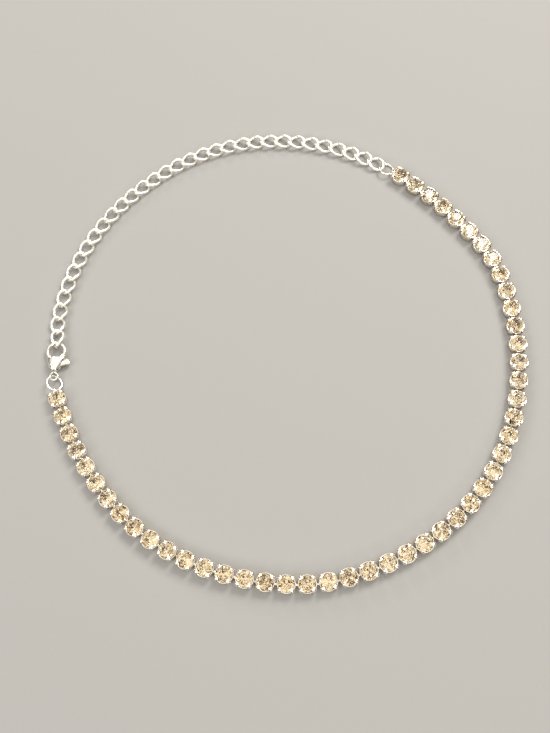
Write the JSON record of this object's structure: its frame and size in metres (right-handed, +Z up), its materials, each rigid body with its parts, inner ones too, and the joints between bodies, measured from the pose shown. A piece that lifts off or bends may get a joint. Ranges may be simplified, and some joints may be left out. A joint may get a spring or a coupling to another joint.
{
  "type": "choker necklace",
  "caption": "Choker necklace: one row of round cut crystals in four-claw cups, with a curb extension chain and a lobster clasp, lying closed in a loop.",
  "frame": {"origin": "middle of the loop's bounding box seen from above, on the surface that the necklace lies on", "axes": "+Z up from the surface; the extension chain is on the +Y side and the clasp on the -X side"},
  "size_m": [0.1394, 0.1432, 0.0036],
  "materials": {
    "crystal": "faceted clear glass on a mirrored back, in silver-plated cups",
    "silver": "bright polished silver-tone plating"
  },
  "bodies": {
    "necklace": {"crystal_strand_right": "crystal", "crystal_strand_left": "crystal", "chain_jump_ring": "silver", "clasp_jump_ring": "silver", "extension_chain": "silver", "clasp_body": "silver"},
    "lever": {"clasp_lever": "silver"}
  },
  "joints": [
    {"name": "clasp_lever_hinge", "type": "hinge", "parent": "necklace", "child": "lever", "pos_m": [-0.0679, 0.00314, 0.00155], "axis": [0, 0, -1], "range_deg": [0, 28], "stiffness_Nm_per_rad": 0.005}
  ]
}
